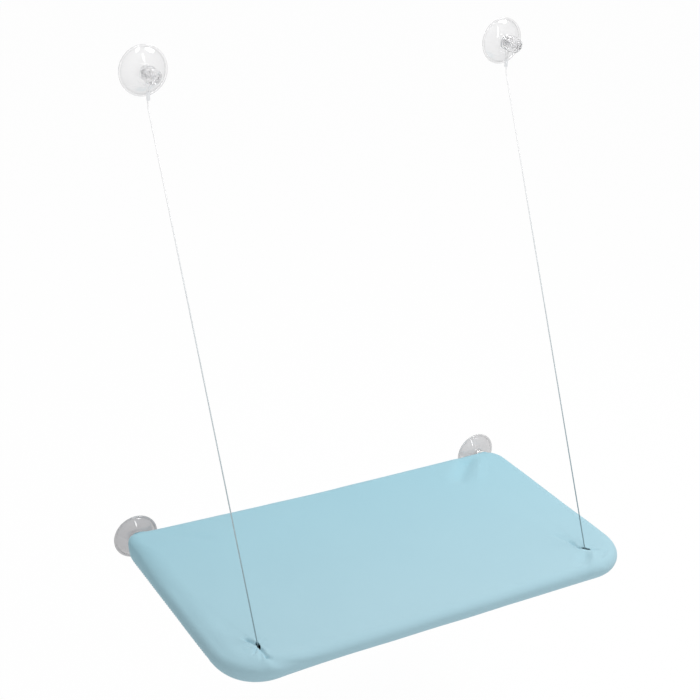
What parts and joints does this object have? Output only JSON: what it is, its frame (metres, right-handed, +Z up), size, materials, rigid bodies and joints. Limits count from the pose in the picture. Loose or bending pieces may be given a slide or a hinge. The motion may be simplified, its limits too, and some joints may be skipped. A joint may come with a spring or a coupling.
{
  "type": "window mounted cat perch",
  "caption": "Cat perch for a window: a cloth deck on a tube frame, held by clear suction cups and hung by thin steel cables from cups above it.",
  "frame": {"origin": "On the window's plane, midway between the two lower suction cups, at the height of their axes and of the frame tubes' centres.", "axes": "+X runs along the window to the right, seen from the room. +Y points through the glass, so the deck reaches out towards -Y. +Z is up."},
  "size_m": [0.596, 0.3394, 0.6804],
  "materials": {
    "clear_soft_plastic": "clear glossy soft PVC",
    "clear_hard_plastic": "clear glossy plastic",
    "stud_steel": "bright zinc plated",
    "cable_steel": "stranded stainless steel",
    "crimp_metal": "pressed aluminium",
    "washer_steel": "zinc plated",
    "tube_plastic": "white rigid PVC tube",
    "corner_plastic": "white moulded plastic",
    "insert_brass": "turned brass",
    "screw_steel": "zinc plated",
    "cloth": "light blue stretched woven cloth",
    "tape_cloth": "woven zip tape",
    "chain_nylon": "nylon coil",
    "zip_metal": "cast zinc"
  },
  "bodies": {
    "window_side": {"left_upper_cup": "clear_soft_plastic", "right_upper_cup": "clear_soft_plastic", "left_lower_cup": "clear_soft_plastic", "right_lower_cup": "clear_soft_plastic", "left_upper_stud": "stud_steel", "right_upper_stud": "stud_steel"},
    "deck": {"front_tube": "tube_plastic", "rear_tube": "tube_plastic", "front_left_corner": "corner_plastic", "front_right_corner": "corner_plastic", "rear_left_corner": "corner_plastic", "rear_right_corner": "corner_plastic", "left_tube": "tube_plastic", "right_tube": "tube_plastic", "left_insert": "insert_brass", "right_insert": "insert_brass", "left_lower_stud": "stud_steel", "right_lower_stud": "stud_steel", "frame_screws": "screw_steel", "cloth_sleeve": "cloth", "zip_tape": "tape_cloth", "zip_chain": "chain_nylon", "zip_end_stops": "zip_metal"},
    "left_hanger": {"left_cable": "cable_steel", "left_eye_ferrule": "crimp_metal", "left_stop_washer": "washer_steel", "left_cable_stop": "crimp_metal"},
    "left_thumb_knob": {"left_knob": "clear_hard_plastic"},
    "right_hanger": {"right_cable": "cable_steel", "right_eye_ferrule": "crimp_metal", "right_stop_washer": "washer_steel", "right_cable_stop": "crimp_metal"},
    "right_thumb_knob": {"right_knob": "clear_hard_plastic"},
    "slider": {"zip_slider": "zip_metal"},
    "pull_tab": {"zip_pull": "zip_metal"}
  },
  "joints": [
    {"name": "deck_lift", "type": "hinge", "parent": "window_side", "child": "deck", "pos_m": [0, -0.008, 0], "axis": [-1, 0, 0], "range_deg": [0, 15], "deforming": ["left_lower_cup", "right_lower_cup"]},
    {"name": "left_cable_swing", "type": "hinge", "parent": "window_side", "child": "left_hanger", "pos_m": [-0.249, -0.01505, 0.612], "axis": [-1, 0, 0], "range_deg": [0, 2.5]},
    {"name": "right_cable_swing", "type": "hinge", "parent": "window_side", "child": "right_hanger", "pos_m": [0.249, -0.01505, 0.612], "axis": [-1, 0, 0], "range_deg": [0, 2.5]},
    {"name": "left_knob_turn", "type": "hinge", "parent": "window_side", "child": "left_thumb_knob", "pos_m": [-0.249, -0.025, 0.612], "axis": [0, -1, 0], "continuous": true},
    {"name": "right_knob_turn", "type": "hinge", "parent": "window_side", "child": "right_thumb_knob", "pos_m": [0.249, -0.025, 0.612], "axis": [0, -1, 0], "continuous": true},
    {"name": "zip_slide", "type": "slide", "parent": "deck", "child": "slider", "axis": [-1, 0, 0], "range_m": [0, 0.444]},
    {"name": "pull_swing", "type": "hinge", "parent": "slider", "child": "pull_tab", "pos_m": [0.2195, -0.062, -0.0184], "axis": [0, 1, 0], "range_deg": [-80, 80]}
  ],
  "couplings": [
    {"joint": "left_cable_swing", "follows": "deck_lift", "ratio": 0.1625},
    {"joint": "right_cable_swing", "follows": "deck_lift", "ratio": 0.1625}
  ]
}
